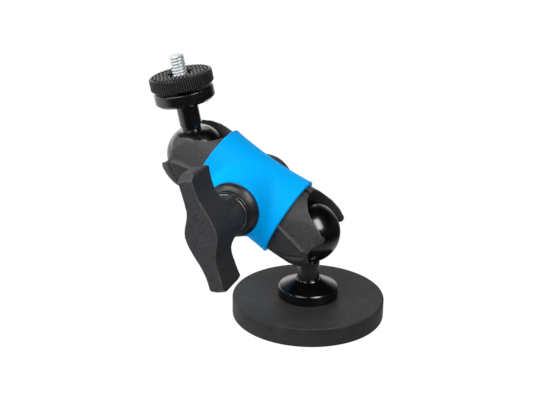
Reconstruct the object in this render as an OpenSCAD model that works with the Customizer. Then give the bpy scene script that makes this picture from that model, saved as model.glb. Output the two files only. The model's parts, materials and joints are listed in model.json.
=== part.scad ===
// Magnetic camera mount. A rubber-coated disc magnet carries a ball post, a
// clamp arm of two half shells grips that ball and a second one, a T-knob
// closes the arm, and the second ball carries a knurled ring and a stud.
// Millimetres, +Z up, origin at the centre of the magnet's lower face.

/* [Magnet base] */
// Diameter of the rubber-coated disc
base_d = 66; // [62:1:80]
// Height of the rubber-coated disc
base_h = 8.5; // [8:0.1:12]
// Rounding of the disc's upper and lower edge
base_edge = 0.8; // [0.4:0.1:1.2]
// Rubber outside the steel plate's edge
rim_wall = 2.5; // [1.5:0.1:4]
// Rubber above the steel plate
cover_t = 1; // [0.8:0.1:1.5]
// Rubber below the magnets
sole_t = 1; // [0.6:0.1:1.5]
// Thickness of the steel plate
plate_t = 2.9; // [2:0.1:3.5]
// Diameter of each disc magnet
magnet_d = 14; // [10:0.5:14.5]
// Number of disc magnets
magnet_count = 8; // [4:1:8]
// Distance from the magnets to the steel plate's edge
magnet_inset = 3; // [1.5:0.5:4]
// Outer diameter of the threaded bush in the disc's centre
bush_d = 12; // [10:0.5:13]
// Closed floor of the threaded bush
bush_floor = 1.5; // [1:0.1:2]
// Diameter of the screw that joins post and disc
joint_screw_d = 6; // [5:0.5:7]
// Length of that screw above the disc
joint_screw_up = 6; // [4:0.5:8]

/* [Balls and posts] */
// Diameter of both balls
ball_d = 26.4; // [25:0.1:27.5]
// Diameter of the stems
stem_d = 9.4; // [8.6:0.1:10.4]
// Height of the lower ball's centre above the disc
post_h = 29.64; // [28:0.1:36]
// How much of each ball is turned off flat at its stem
ball_flat = 1.7; // [1:0.1:2.2]
// Width of the groove between ball and stem
groove_w = 1.9; // [1:0.1:2.4]
// Depth of the groove below the stem's surface
groove_t = 0.6; // [0.2:0.1:1]
// Diameter of the lower post's flange
flange_d = 26; // [20:0.5:32]
// Height of the flange's straight side
flange_h = 4.7; // [3:0.1:6]
// Height of the cone above the flange
cone_h = 3.2; // [2:0.1:5]
// Small chamfer on turned edges
turned_edge = 0.45; // [0.2:0.05:0.8]
// Lean of the upper post from the vertical
post_lean = 10.2; // [-15:0.1:30]
// Lean of the upper post towards the knob's side
post_side = 4.1; // [-6:0.1:6]

/* [Clamp arm] */
// Distance between the two ball centres
link = 59.6; // [56:0.1:80]
// Lean of the arm above the horizontal
arm_lean = 28.3; // [15:0.1:60]
// Roll of the arm about its long axis
arm_roll = 2.3; // [-5:0.1:5]
// Wall of the sockets
socket_wall = 4; // [3.2:0.1:4.5]
// How much slimmer than the sockets the arm is at its waist
waist_in = 2.1; // [1.6:0.1:2.6]
// How much slimmer than the sockets the arm is at the sleeve's ends
neck_in = 0.9; // [0.5:0.1:1.4]
// Gap between the two half shells
split_gap = 1.5; // [0.8:0.1:2]
// How much smaller than the ball the socket's side mouth is, per side
mouth_lip = 0.4; // [0.3:0.1:1.2]
// Distance of the side mouth outward from the ball's centre
mouth_out = 4.6; // [4:0.1:5.5]
// Diameter of the notch at each end of the arm
notch_d = 16; // [13:0.5:17]
// Distance of the notch outward from the ball's centre
notch_out = 14.1; // [13:0.1:15]
// Distance of the blunt finger tips outward from the ball's centre
tip_out = 8.7; // [8:0.1:9.5]
// Half width of the faceted back of each shell
crease_y = 10.8; // [9:0.1:11.5]
// Height lost at the ridge against a full round
ridge_in = 0.8; // [0.5:0.1:1.2]
// Chamfer along the split's outer edges
slot_edge = 1.8; // [0.5:0.1:2.2]
// Swell of the two facets beside the ridge
facet_swell = 0.28; // [0.1:0.02:0.4]

/* [Sleeve] */
// Length of the silicone sleeve
sleeve_l = 40; // [34:0.2:41]
// Shift of the sleeve towards the lower ball
sleeve_shift = -1.1; // [-1.5:0.1:1.5]
// Wall of the silicone sleeve
sleeve_wall = 1.45; // [1:0.05:2]
// Play between sleeve and shells
sleeve_gap = 0.15; // [0.1:0.05:0.3]
// Outer diameter of the sleeve's raised rim below the collar
sleeve_rim_d = 24.8; // [23.6:0.2:28]

/* [Clamp hardware] */
// Diameter of the clamp bolt
bolt_d = 6; // [5:0.5:7]
// Width across the flats of the bolt's head
head_af = 10; // [9:0.5:11]
// Height of the bolt's head
head_t = 4.4; // [3.5:0.1:5]
// Thickness of the washer below the head
head_washer_t = 1; // [0.6:0.1:1.5]
// Diameter of the round boss on the back shell
back_boss_d = 24; // [20:0.5:26]
// Height of the back boss's face from the split
back_boss_h = 17.2; // [17:0.1:19]
// Diameter of the round boss on the front shell
front_boss_d = 21; // [18:0.5:24]
// Height of the front boss's face from the split
front_boss_h = 20.6; // [19.5:0.1:23]
// Outer diameter of the clamp spring
spring_d = 11; // [10:0.5:13]
// Wire of the clamp spring
spring_wire = 1.2; // [0.8:0.1:1.4]
// Number of turns of the clamp spring
spring_turns = 5; // [3:1:6]
// Depth of the spring's pocket in each shell, from the split's middle
pocket_h = 7; // [6:0.5:8]
// Diameter of the domed collar below the knob
collar_d = 23.8; // [22:0.2:28]
// Height of the domed collar
collar_t = 5.2; // [3:0.1:6]
// Diameter of the collar's flat top
collar_top_d = 18.6; // [18:0.2:21]
// Diameter of the thin washer below the knob
washer_d = 17.4; // [17:0.1:18]
// Thickness of that thin washer
washer_t = 0.9; // [0.6:0.1:1.2]

/* [Knob] */
// Length of the knob's bar
knob_l = 51; // [44:1:60]
// Height of the knob from its hub's face to its front
knob_h = 24.3; // [23:0.1:30]
// Turn of the bar from the arm's long axis
knob_turn = 46; // [0:1:180]
// Diameter of the knob's hub
hub_d = 16.4; // [15:0.2:17]
// Depth of the bar, front to back
bar_t = 14.7; // [12:0.1:16]
// Width of the bar's front at its middle
bar_mid_w = 14.6; // [13:0.2:16]
// Width of the bar where it is slimmest
bar_neck_w = 6.4; // [5:0.2:8]
// Width of the bar near its tips
bar_tip_w = 6.4; // [6:0.2:9]
// Distance over which the bar narrows on its quick side
quick_l = 12; // [9:0.5:15]
// Distance over which the bar narrows on its slow side
slow_l = 19; // [15:0.5:20]
// Radius of the hollow between hub and bar
flare_r = 5.3; // [3:0.1:6]
// Diameter of the threaded insert
insert_d = 10; // [9.5:0.1:11]
// Length of the threaded insert
insert_l = 16; // [12:0.5:17]

/* [Camera seat] */
// Height of the seat's underside from the upper ball's centre
seat_up = 24; // [21:0.1:30]
// Diameter of the seat
seat_d = 25.8; // [24:0.2:30]
// Height of the seat
seat_t = 5.6; // [4:0.1:7]
// Chamfer below the seat
seat_edge = 1.1; // [0.5:0.05:1.5]
// Diameter of the camera screw
screw_d = 6.35; // [5:0.05:6.5]
// Length of the camera screw above the ring
screw_out = 7.9; // [7:0.1:12]
// Gap between the seat and the ring
ring_gap = 1.1; // [0.8:0.1:2]
// Diameter of the knurled ring
ring_d = 27.2; // [26:0.2:32]
// Height of the knurled ring
ring_t = 5.7; // [4.8:0.1:7]
// Number of knurl teeth
knurl_count = 84; // [60:2:110]
// Depth of the knurl
knurl_t = 0.35; // [0.2:0.05:0.5]
// Diameter of the rubber pad
pad_d = 24.4; // [22:0.1:24.6]
// Depth of the pad below the ring's rim
pad_in = 1.4; // [1:0.1:1.8]
// Height of the ribs above the ring's rim
rib_out = 0.4; // [0.2:0.1:0.8]
// Distance between the pad's ribs
rib_pitch = 1.57; // [1.4:0.01:2.4]
// Width of each rib
rib_w = 0.9; // [0.6:0.05:1.1]
// Turn of the ribs about the camera screw
rib_turn = 29; // [0:1:179]
// Diameter of the bush inside the ring
nut_d = 11; // [9.5:0.1:12]

/* [Hidden] */
$fn = 96;

// Clearances, radial or face to face.
seat_gap = 0.05;
run_gap = 0.05;
slide_gap = 0.1;
socket_gap = 0.1;
thread_gap = 0.04;
eps = 0.01;

// Derived sizes.
base_r = base_d / 2;
plate_r = base_r - rim_wall;
plate_z = base_h - cover_t - plate_t;
magnet_t = plate_z - sole_t;
magnet_ring = plate_r - magnet_inset - magnet_d / 2;
bush_r = bush_d / 2;
joint_r = joint_screw_d / 2;
joint_z0 = sole_t + bush_floor;
joint_z1 = base_h + joint_screw_up;
ball_r = ball_d / 2;
ball_z = base_h + post_h;
stem_r = stem_d / 2;
groove_r = stem_r - groove_t;
flat_up = ball_r - ball_flat;
stem_up = flat_up + groove_w;
socket_r = ball_r + socket_gap;
arm_r = socket_r + socket_wall;
half_link = link / 2;
mouth_r = ball_r - mouth_lip;
crease_z = sqrt(arm_r * arm_r - crease_y * crease_y);
half_gap = split_gap / 2;
bolt_r = bolt_d / 2;
head_z = -back_boss_h + 0.2;
head_in = head_z + head_t;
washer_z = head_in + head_washer_t;
pocket_r = spring_d / 2 + 0.6;
collar_z = front_boss_h;
collar_top = collar_z + collar_t;
hub_z = collar_top + washer_t;
knob_z = hub_z + knob_h;
bar_z = knob_z - bar_t;
insert_z = hub_z + 0.2;
insert_end = insert_z + insert_l;
bolt_end = insert_end + 1;
seat_top = seat_up + seat_t;
screw_r = screw_d / 2;
screw_z0 = seat_up - 3;
ring_z = seat_top + ring_gap;
ring_top = ring_z + ring_t;
screw_end = ring_top + screw_out;
pad_z = ring_top - pad_in;
neck_l = 0.8;
neck_t = 0.3;

// Frames. Arm: X runs to the lower ball, Y up, Z along the clamp bolt.
module in_arm() {
    translate([-half_link * cos(arm_lean), 0, ball_z + half_link * sin(arm_lean)])
        rotate([0, arm_lean, 0]) rotate([90 + arm_roll, 0, 0]) children();
}
// Post: Z runs from the upper ball's centre to the camera screw.
module in_post() {
    translate([-link * cos(arm_lean), 0, ball_z + link * sin(arm_lean)])
        rotate([post_side, -post_lean, 0]) children();
}

module tube(r_out, r_in, h) {
    difference() {
        cylinder(r = r_out, h = h);
        translate([0, 0, -1]) cylinder(r = r_in, h = h + 2);
    }
}

// ---- Magnet base ----
module magnets_at(r, h) {
    for (i = [0 : magnet_count - 1])
        rotate([0, 0, i * 360 / magnet_count])
            translate([magnet_ring, 0, 0]) cylinder(r = r, h = h);
}

module rubber_cover() {
    e = base_edge;
    color([0.16, 0.16, 0.17]) difference() {
        rotate_extrude() difference() {
            union() {
                square([base_r - e, base_h]);
                translate([0, e]) square([base_r, base_h - 2 * e]);
                translate([base_r - e, e]) circle(r = e);
                translate([base_r - e, base_h - e]) circle(r = e);
            }
            translate([-base_r, -1]) square([base_r, base_h + 2]);
        }
        translate([0, 0, plate_z - seat_gap])
            cylinder(r = plate_r + seat_gap, h = plate_t + 2 * seat_gap);
        translate([0, 0, sole_t - seat_gap])
            magnets_at(magnet_d / 2 + seat_gap, magnet_t + 2 * seat_gap);
        translate([0, 0, sole_t - seat_gap])
            cylinder(r = bush_r + seat_gap, h = base_h);
    }
}

module steel_plate() {
    color("silver") translate([0, 0, plate_z])
        tube(plate_r, bush_r + seat_gap, plate_t);
}

module disc_magnets() {
    color([0.7, 0.7, 0.72]) translate([0, 0, sole_t]) magnets_at(magnet_d / 2, magnet_t);
}

module threaded_bush() {
    color("gold") difference() {
        translate([0, 0, sole_t]) cylinder(r = bush_r, h = base_h - sole_t);
        translate([0, 0, joint_z0]) cylinder(r = joint_r + seat_gap, h = base_h);
    }
}

module joint_screw() {
    color("silver") translate([0, 0, joint_z0])
        cylinder(r = joint_r, h = joint_z1 - joint_z0);
}

// ---- Ball posts ----
// A ball at the origin with its stem along +Z up to the height given.
module ball_and_stem(stem_end) {
    difference() {
        sphere(r = ball_r);
        translate([0, 0, flat_up]) cylinder(r = ball_r, h = ball_r);
    }
    cylinder(r = groove_r, h = stem_up + eps);
    translate([0, 0, stem_up]) rotate_extrude() polygon([
        [0, 0],
        [stem_r - 0.3, 0],
        [stem_r, 0.3],
        [stem_r, stem_end - stem_up],
        [0, stem_end - stem_up]
    ]);
}

module lower_ball_post() {
    r = flange_d / 2;
    e = turned_edge;
    top = base_h + flange_h;
    color([0.05, 0.05, 0.055]) difference() {
        union() {
            translate([0, 0, ball_z]) rotate([180, 0, 0])
                ball_and_stem(post_h - flange_h - cone_h / 2);
            rotate_extrude() polygon([
                [0, base_h],
                [r - e, base_h],
                [r, base_h + e],
                [r, top - e],
                [r - e, top],
                [stem_r + 0.8, top + cone_h],
                [stem_r + 0.5, top + cone_h + 0.4],
                [0, top + cone_h + 0.4]
            ]);
        }
        translate([0, 0, base_h - 1])
            cylinder(r = joint_r + run_gap, h = joint_screw_up + 1.5);
    }
}

module upper_ball_post() {
    r = seat_d / 2;
    e = seat_edge;
    color([0.05, 0.05, 0.055]) in_post() difference() {
        union() {
            ball_and_stem(seat_up + 1);
            translate([0, 0, seat_up]) rotate_extrude() polygon([
                [0, 0],
                [r - e, 0],
                [r, e],
                [r, seat_t - turned_edge],
                [r - turned_edge, seat_t],
                [0, seat_t]
            ]);
        }
        translate([0, 0, screw_z0 - 0.5]) cylinder(r = screw_r + run_gap, h = seat_top);
    }
}

// ---- Clamp arm ----
// Radius of the arm at a distance x from its middle.
function arm_radius(x) =
    let (s = sleeve_l / 2, w = arm_r - waist_in, n = arm_r - neck_in)
    x < s ? w + (n - w) * pow(x / s, 2)
          : n + (arm_r - n) * (x - s) / (half_link - s);

// Points of that outline from x0 to x1, grown by g.
function arm_line(x0, x1, g) =
    [for (i = [0 : 24])
        let (x = x0 + (x1 - x0) * i / 24)
        [x, arm_radius(abs(x)) + g]];

module arm_outer() {
    rotate([0, 90, 0]) rotate_extrude() polygon(concat(
        [[0, -half_link]],
        [for (p = arm_line(-half_link, half_link, 0)) [p[1], p[0]]],
        [[0, half_link]]
    ));
    for (s = [-1, 1]) translate([s * half_link, 0, 0]) sphere(r = arm_r);
}

// The faceted back of a shell, as a section across the arm.
module arm_section() {
    top = arm_r - ridge_in;
    a = top + (crease_z - top) * 0.34 + facet_swell;
    b = top + (crease_z - top) * 0.68 + facet_swell;
    w = arm_r + 3;
    flat_y = arm_r - slot_edge;
    polygon([
        [-flat_y, half_gap], [flat_y, half_gap],
        [w, half_gap + w - flat_y], [w, crease_z], [crease_y, crease_z],
        [crease_y * 0.68, b], [crease_y * 0.34, a], [0, top],
        [-crease_y * 0.34, a], [-crease_y * 0.68, b],
        [-crease_y, crease_z], [-w, crease_z],
        [-w, half_gap + w - flat_y]
    ]);
}

// One half shell on the +Z side of the split, without its bosses.
module half_shell() {
    difference() {
        intersection() {
            arm_outer();
            rotate([90, 0, 90])
                linear_extrude(link + 3 * arm_r, center = true) arm_section();
        }
        for (s = [-1, 1]) translate([s * half_link, 0, 0]) {
            sphere(r = socket_r);
            translate([s * mouth_out, 0, 0]) rotate([90, 0, 0])
                cylinder(r = mouth_r, h = 3 * arm_r, center = true);
            translate([s * notch_out, 0, 0])
                cylinder(r = notch_d / 2, h = 3 * arm_r, center = true);
            translate([s * (tip_out + arm_r), 0, 0]) cube(2 * arm_r, center = true);
        }
    }
}

module arm_back_half() {
    flat_r = (head_af / 2 + slide_gap) / cos(30);
    color([0.3, 0.3, 0.31]) in_arm() difference() {
        union() {
            mirror([0, 0, 1]) half_shell();
            translate([0, 0, -back_boss_h])
                cylinder(r = back_boss_d / 2, h = back_boss_h - half_gap);
        }
        translate([0, 0, -pocket_h]) cylinder(r = pocket_r, h = pocket_h + 1);
        translate([0, 0, -back_boss_h - 1]) cylinder(r = bolt_r + slide_gap, h = 30);
        translate([0, 0, -back_boss_h - 1])
            cylinder(r = flat_r, h = washer_z + back_boss_h + 1, $fn = 6);
        for (s = [-1, 1]) translate([s * half_link, 0, 0]) sphere(r = socket_r);
    }
}

module arm_front_half() {
    color([0.3, 0.3, 0.31]) in_arm() difference() {
        union() {
            half_shell();
            translate([0, 0, half_gap])
                cylinder(r = front_boss_d / 2, h = front_boss_h - half_gap);
        }
        translate([0, 0, -1]) cylinder(r = pocket_r, h = pocket_h + 1);
        cylinder(r = bolt_r + slide_gap, h = front_boss_h + 1);
        for (s = [-1, 1]) translate([s * half_link, 0, 0]) sphere(r = socket_r);
    }
}

module clamp_bolt() {
    c = 0.6;
    color("silver") in_arm() {
        translate([0, 0, head_z])
            cylinder(r = head_af / 2 / cos(30), h = head_t, $fn = 6);
        translate([0, 0, head_in - eps]) rotate_extrude() polygon([
            [0, 0],
            [bolt_r, 0],
            [bolt_r, bolt_end - head_in - c],
            [bolt_r - c, bolt_end - head_in],
            [0, bolt_end - head_in]
        ]);
    }
}

module head_washer() {
    color("silver") in_arm() translate([0, 0, head_in])
        tube(head_af / 2, bolt_r + slide_gap, head_washer_t);
}

// Clamp spring: rings of six points along a helix, joined into one tube.
spring_mean = (spring_d - spring_wire) / 2;
spring_rise = 2 * (pocket_h - spring_wire / 2 - seat_gap);
spring_steps = 8 * spring_turns;
spring_sides = 6;
function spring_pitch_angle() =
    atan(spring_rise / (spring_turns * 2 * PI * spring_mean));
function spring_point(i) =
    let (a = i * 45)
    [spring_mean * cos(a), spring_mean * sin(a), spring_rise * (i / spring_steps - 0.5)];
function spring_ring(i) =
    let (
        a = i * 45,
        p = spring_pitch_angle(),
        out = [cos(a), sin(a), 0],
        side = [sin(p) * sin(a), -sin(p) * cos(a), cos(p)]
    )
    [for (j = [0 : spring_sides - 1])
        spring_point(i) + spring_wire / 2 *
            (cos(j * 60) * out + sin(j * 60) * side)];
function spring_quad(i, j) =
    let (
        k = (j + 1) % spring_sides,
        a = i * spring_sides + j,
        b = i * spring_sides + k,
        c = (i + 1) * spring_sides + k,
        d = (i + 1) * spring_sides + j
    )
    [[a, b, c], [a, c, d]];
// Least distance between points more than half a turn apart, less the wire.
spring_gap = min([for (i = [0 : spring_steps - 5], k = [i + 5 : spring_steps])
    norm(spring_point(i) - spring_point(k)) - spring_wire]);
echo(str("clamp spring least gap to itself ", spring_gap));  // clamp_spring

module clamp_spring() {
    last = spring_steps * spring_sides;
    points = [for (i = [0 : spring_steps]) each spring_ring(i)];
    walls = [for (i = [0 : spring_steps - 1], j = [0 : spring_sides - 1])
        each spring_quad(i, j)];
    cap_a = [for (j = [1 : spring_sides - 2]) [0, j + 1, j]];
    cap_b = [for (j = [1 : spring_sides - 2]) [last, last + j, last + j + 1]];
    color("silver") in_arm()
        polyhedron(points = points, faces = concat(walls, cap_a, cap_b));
}

module silicone_sleeve() {
    x0 = sleeve_shift - sleeve_l / 2;
    x1 = sleeve_shift + sleeve_l / 2;
    color([0.0, 0.45, 0.95]) in_arm() difference() {
        union() {
            rotate([0, 90, 0]) rotate_extrude() polygon(concat(
                [[0, x0]],
                [for (p = arm_line(x0, x1, sleeve_gap + sleeve_wall)) [p[1], p[0]]],
                [[0, x1]]
            ));
            rotate_extrude() polygon([
                [0, 0],
                [sleeve_rim_d / 2, 0],
                [sleeve_rim_d / 2, front_boss_h - 0.6],
                [sleeve_rim_d / 2 - 0.4, front_boss_h - 0.2],
                [0, front_boss_h - 0.2]
            ]);
        }
        rotate([0, 90, 0]) rotate_extrude() polygon(concat(
            [[0, x0 - 1], [arm_radius(abs(x0 - 1)) + sleeve_gap, x0 - 1]],
            [for (p = arm_line(x0, x1, sleeve_gap)) [p[1], p[0]]],
            [[arm_radius(x1 + 1) + sleeve_gap, x1 + 1], [0, x1 + 1]]
        ));
        cylinder(r = front_boss_d / 2 + 2 * sleeve_gap, h = 2 * arm_r);
        mirror([0, 0, 1]) cylinder(r = back_boss_d / 2 + 0.3, h = 2 * arm_r);
    }
}

module domed_collar() {
    r = collar_d / 2;
    t = collar_top_d / 2;
    side = collar_t * 0.25;
    color([0.06, 0.06, 0.065]) in_arm() translate([0, 0, collar_z])
        rotate_extrude() polygon(concat(
            [[bolt_r + slide_gap, 0], [r - 0.3, 0], [r, 0.3]],
            [for (i = [0 : 8]) [
                t + (r - t) * cos(i * 90 / 8),
                side + (collar_t - side) * sin(i * 90 / 8)
            ]],
            [[bolt_r + slide_gap, collar_t]]
        ));
}

module thin_washer() {
    color([0.55, 0.55, 0.57]) in_arm() translate([0, 0, collar_top])
        tube(washer_d / 2, bolt_r + slide_gap, washer_t);
}

// ---- Knob ----
// Half width of the bar at k along it, on its +Y side. The bar is an S: it
// narrows quickly towards +X and slowly towards -X.
function bar_half(k) =
    let (turn = k > 0 ? quick_l : slow_l, tip = knob_l / 2 - 2.5, d = abs(k))
    d < turn ? bar_neck_w / 2 + (bar_mid_w - bar_neck_w) / 4 * (1 + cos(180 * d / turn))
             : bar_neck_w / 2 + (bar_tip_w - bar_neck_w) / 4
               * (1 - cos(180 * min(1, (d - turn) / (tip - turn))));

module bar_plan() {
    tip = knob_l / 2;
    n = 20;
    side = [for (i = [-n : n]) [i * (tip - 1.2) / n, bar_half(i * (tip - 1.2) / n)]];
    polygon(concat(
        side,
        [[tip, bar_tip_w / 2 - 1.2], [tip, 1.2 - bar_tip_w / 2]],
        [for (p = side) -p],
        [[-tip, 1.2 - bar_tip_w / 2], [-tip, bar_tip_w / 2 - 1.2]]
    ));
}

// Side view of the bar: heights along Y from the hub's face.
module bar_side() {
    tip = knob_l / 2;
    back = bar_z - hub_z;
    hub_r = hub_d / 2;
    for (s = [0, 1]) mirror([s, 0]) difference() {
        polygon([
            [0, 0], [hub_r, 0], [hub_r, back - flare_r],
            [hub_r + flare_r, back - flare_r], [hub_r + flare_r, back],
            [tip - 4.6, back - 0.8], [tip - 1.7, back - 1.5],
            [tip - 0.6, back + 0.6], [tip, knob_h - 3.5],
            [tip - 2.5, knob_h], [0, knob_h]
        ]);
        translate([hub_r + flare_r, back - flare_r]) circle(r = flare_r);
    }
}

module knob_body() {
    color([0.13, 0.13, 0.15]) in_arm() rotate([0, 0, 180 - knob_turn]) difference() {
        union() {
            intersection() {
                translate([0, 0, hub_z]) rotate([90, 0, 0])
                    linear_extrude(hub_d, center = true) bar_side();
                translate([0, 0, hub_z]) linear_extrude(knob_h) bar_plan();
            }
            translate([0, 0, hub_z]) rotate_extrude() polygon([
                [0, 0],
                [hub_d / 2 - 0.3, 0],
                [hub_d / 2, 0.3],
                [hub_d / 2, bar_z - hub_z - flare_r],
                [bar_mid_w / 2, bar_z - hub_z + 1.5],
                [0, bar_z - hub_z + 1.5]
            ]);
        }
        translate([0, 0, hub_z - 1])
            cylinder(r = insert_d / 2 + seat_gap, h = insert_end - hub_z + 1 + seat_gap);
        translate([0, 0, hub_z]) cylinder(r = bolt_r + 0.4, h = bolt_end - hub_z + 1.5);
    }
}

module knob_insert() {
    color("gold") in_arm() translate([0, 0, insert_z])
        tube(insert_d / 2, bolt_r + run_gap, insert_l);
}

// ---- Camera seat ----
module camera_stud() {
    c = 0.6;
    cut_z = ring_top + 0.7;
    color([0.75, 0.76, 0.77]) in_post() rotate_extrude() polygon([
        [0, screw_z0],
        [screw_r - c, screw_z0],
        [screw_r, screw_z0 + c],
        [screw_r, cut_z],
        [screw_r - neck_t, cut_z],
        [screw_r - neck_t, cut_z + neck_l],
        [screw_r, cut_z + neck_l],
        [screw_r, screw_end - c],
        [screw_r - c, screw_end],
        [0, screw_end]
    ]);
}

module ring_bush() {
    color([0.2, 0.2, 0.2]) in_post() translate([0, 0, ring_z + 0.2])
        tube(nut_d / 2, screw_r + thread_gap, pad_z - ring_z - 0.3);
}

module knurl_plan() {
    n = 2 * knurl_count;
    polygon([for (i = [0 : n - 1])
        let (r = ring_d / 2 - (i % 2) * knurl_t)
        [r * cos(i * 360 / n), r * sin(i * 360 / n)]]);
}

module knurled_ring() {
    r = ring_d / 2;
    color([0.08, 0.08, 0.085]) in_post() difference() {
        intersection() {
            translate([0, 0, ring_z]) linear_extrude(ring_t) knurl_plan();
            rotate_extrude() polygon([
                [0, ring_z - 1],
                [r - 0.6, ring_z - 1],
                [r - 0.6, ring_z],
                [r + 0.5, ring_z + 1.1],
                [r + 0.5, ring_top - 0.9],
                [r - 0.9, ring_top + 0.5],
                [0, ring_top + 0.5]
            ]);
        }
        translate([0, 0, ring_z - 1]) cylinder(r = nut_d / 2 + run_gap, h = ring_t + 2);
        translate([0, 0, pad_z]) cylinder(r = pad_d / 2 + seat_gap, h = ring_t);
    }
}

module ribbed_pad() {
    r = pad_d / 2;
    floor_t = pad_in - 0.3;
    count = floor((r - rib_w) / rib_pitch);
    color([0.3, 0.3, 0.31]) in_post() translate([0, 0, pad_z]) difference() {
        union() {
            cylinder(r = r, h = floor_t);
            intersection() {
                cylinder(r = r - 0.3, h = pad_in + rib_out);
                rotate([0, 0, rib_turn]) for (i = [-count : count])
                    translate([i * rib_pitch - rib_w / 2, -r, floor_t - 0.1])
                        cube([rib_w, 2 * r, pad_in + rib_out - floor_t + 0.1]);
            }
        }
        translate([0, 0, -1]) cylinder(r = nut_d / 2 - 0.3, h = 5);
    }
}

rubber_cover();
steel_plate();
disc_magnets();
threaded_bush();
joint_screw();
lower_ball_post();
arm_back_half();
clamp_bolt();
head_washer();
clamp_spring();
silicone_sleeve();
arm_front_half();
domed_collar();
thin_washer();
knob_body();
knob_insert();
upper_ball_post();
camera_stud();
ring_bush();
knurled_ring();
ribbed_pad();
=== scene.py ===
import json
import math

import bmesh
import bpy
import numpy as np
from mathutils import Matrix, Vector


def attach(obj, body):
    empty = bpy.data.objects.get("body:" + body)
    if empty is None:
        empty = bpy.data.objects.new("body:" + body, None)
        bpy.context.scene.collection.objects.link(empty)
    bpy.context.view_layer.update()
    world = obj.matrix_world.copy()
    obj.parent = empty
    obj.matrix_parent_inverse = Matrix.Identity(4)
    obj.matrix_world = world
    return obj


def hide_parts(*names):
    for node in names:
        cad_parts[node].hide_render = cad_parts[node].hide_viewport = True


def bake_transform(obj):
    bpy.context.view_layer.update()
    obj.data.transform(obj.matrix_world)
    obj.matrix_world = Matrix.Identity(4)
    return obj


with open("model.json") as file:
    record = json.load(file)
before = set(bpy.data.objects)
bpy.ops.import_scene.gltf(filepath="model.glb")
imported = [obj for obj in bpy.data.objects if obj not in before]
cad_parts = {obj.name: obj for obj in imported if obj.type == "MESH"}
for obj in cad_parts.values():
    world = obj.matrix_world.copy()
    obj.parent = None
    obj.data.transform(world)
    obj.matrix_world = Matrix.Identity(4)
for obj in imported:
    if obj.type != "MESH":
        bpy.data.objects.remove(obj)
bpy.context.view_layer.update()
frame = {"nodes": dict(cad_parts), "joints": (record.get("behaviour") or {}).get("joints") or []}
mm = 0.001
joints = {joint["name"]: joint for joint in frame["joints"]}


# frames that the pieces are built in, read from the joints
def frameFrom(origin, xAxis, yAxis, zAxis):
    place = Matrix.Identity(4)
    for column, axis in enumerate((xAxis, yAxis, zAxis, origin)):
        for row in range(3):
            place[row][column] = axis[row]
    return place


lowerBall = Vector(joints["lower_tilt"]["pos_m"])
upperBall = Vector(joints["upper_tilt"]["pos_m"])
boltAxis = Vector(joints["clamp_open"]["axis"]).normalized()
postAxis = Vector(joints["camera_pan"]["axis"]).normalized()
armAxis = (lowerBall - upperBall).normalized()
armUp = boltAxis.cross(armAxis).normalized()
armMiddle = (lowerBall + upperBall) / 2
postSide = Vector((0, 1, 0)).cross(postAxis).normalized()
armFrame = frameFrom(armMiddle, armAxis, armUp, boltAxis)
postFrame = frameFrom(upperBall, postSide, postAxis.cross(postSide), postAxis)
baseFrame = Matrix.Identity(4)
halfLink = (lowerBall - upperBall).length / mm / 2


# small makers
def addNode(tree, kind, links=None, **settings):
    node = tree.nodes.new(kind)
    for key, value in settings.items():
        setattr(node, key, value)
    for key, value in (links or {}).items():
        if isinstance(value, bpy.types.NodeSocket):
            tree.links.new(value, node.inputs[key])
        else:
            node.inputs[key].default_value = value
    return node


def calc(tree, operation, first, second=None):
    links = {i: v for i, v in enumerate((first, second)) if v is not None}
    return addNode(tree, "ShaderNodeMath", links, operation=operation).outputs[0]


def vectorCalc(tree, operation, first, second=None):
    links = {i: v for i, v in enumerate((first, second)) if v is not None}
    outputs = addNode(tree, "ShaderNodeVectorMath", links, operation=operation).outputs
    return outputs["Value" if operation in ("LENGTH", "DOT_PRODUCT") else "Vector"]


def remap(tree, value, low, high, toLow=0.0, toHigh=1.0, kind="LINEAR"):
    return addNode(tree, "ShaderNodeMapRange", {
        "Value": value, "From Min": low, "From Max": high, "To Min": toLow, "To Max": toHigh,
    }, interpolation_type=kind).outputs[0]


def mixColours(tree, amount, first, second):
    # inputs 6 and 7 of a Mix node are its two colours, and output 2 is their mix
    return addNode(tree, "ShaderNodeMix", {
        "Factor": amount, 6: first, 7: second,
    }, data_type="RGBA").outputs[2]


def linked(name, mesh):
    piece = bpy.data.objects.new(name, mesh)
    bpy.context.scene.collection.objects.link(piece)
    return piece


def settled(piece):
    # the evaluated mesh takes the place of the mesh and its modifiers
    graph = bpy.context.evaluated_depsgraph_get()
    graph.update()
    mesh = bpy.data.meshes.new_from_object(piece.evaluated_get(graph), depsgraph=graph)
    piece.modifiers.clear()
    piece.data = mesh


def combined(piece, other, operation):
    # a boolean with another closed shape, which is used up
    change = piece.modifiers.new("combine", "BOOLEAN")
    change.operation = operation
    change.solver = "EXACT"
    change.object = other
    settled(piece)
    bpy.data.objects.remove(other)


def shaded(mesh, sharpAngle=38):
    mesh.shade_smooth()
    mesh.set_sharp_from_angle(angle=math.radians(sharpAngle))


def pointsOf(mesh):
    points = np.empty(len(mesh.vertices) * 3)
    mesh.vertices.foreach_get("co", points)
    return points.reshape(-1, 3)


def setPoints(mesh, points):
    mesh.vertices.foreach_set("co", points.ravel())
    mesh.update()


def finish(piece, material, body, node):
    # a piece given no body is left unattached
    piece.data.materials.clear()
    piece.data.materials.append(material)
    if body:
        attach(piece, body)
    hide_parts(node)


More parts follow.
